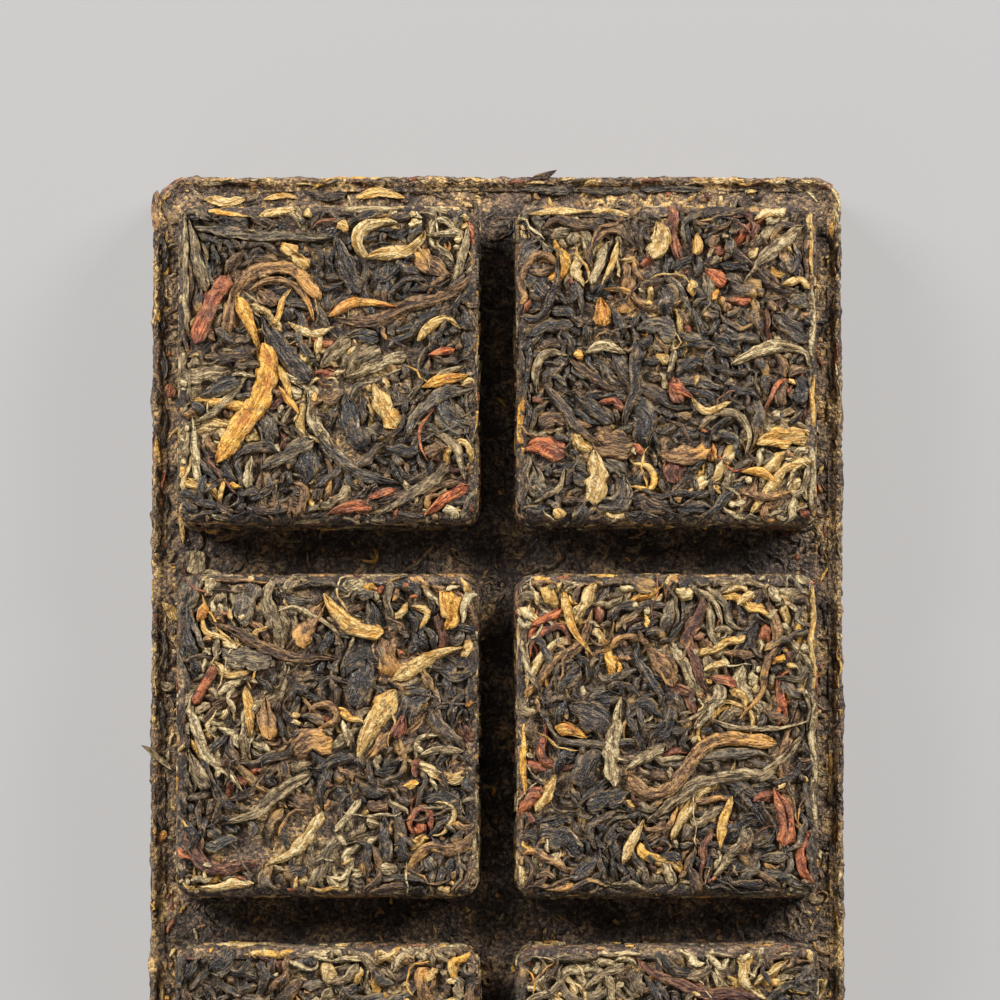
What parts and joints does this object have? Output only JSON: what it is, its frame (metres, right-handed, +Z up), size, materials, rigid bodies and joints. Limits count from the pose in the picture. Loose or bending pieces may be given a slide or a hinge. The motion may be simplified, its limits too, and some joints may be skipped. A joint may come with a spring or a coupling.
{
  "type": "black tea brick",
  "caption": "Flat pressed brick of twisted black tea leaves and golden buds, scored by deep grooves into snap-off rectangular pieces.",
  "frame": {"origin": "middle of the brick's flat back, which it lies on", "axes": "+Z up out of the scored side, +Y along the brick towards the end shown whole, +X across it"},
  "size_m": [0.056, 0.1206, 0.013],
  "materials": {
    "pressed_tea": "matt to satin dark leaves with golden buds, unevenly pressed"
  },
  "bodies": {
    "root": {"tea_brick": "pressed_tea"}
  },
  "joints": []
}
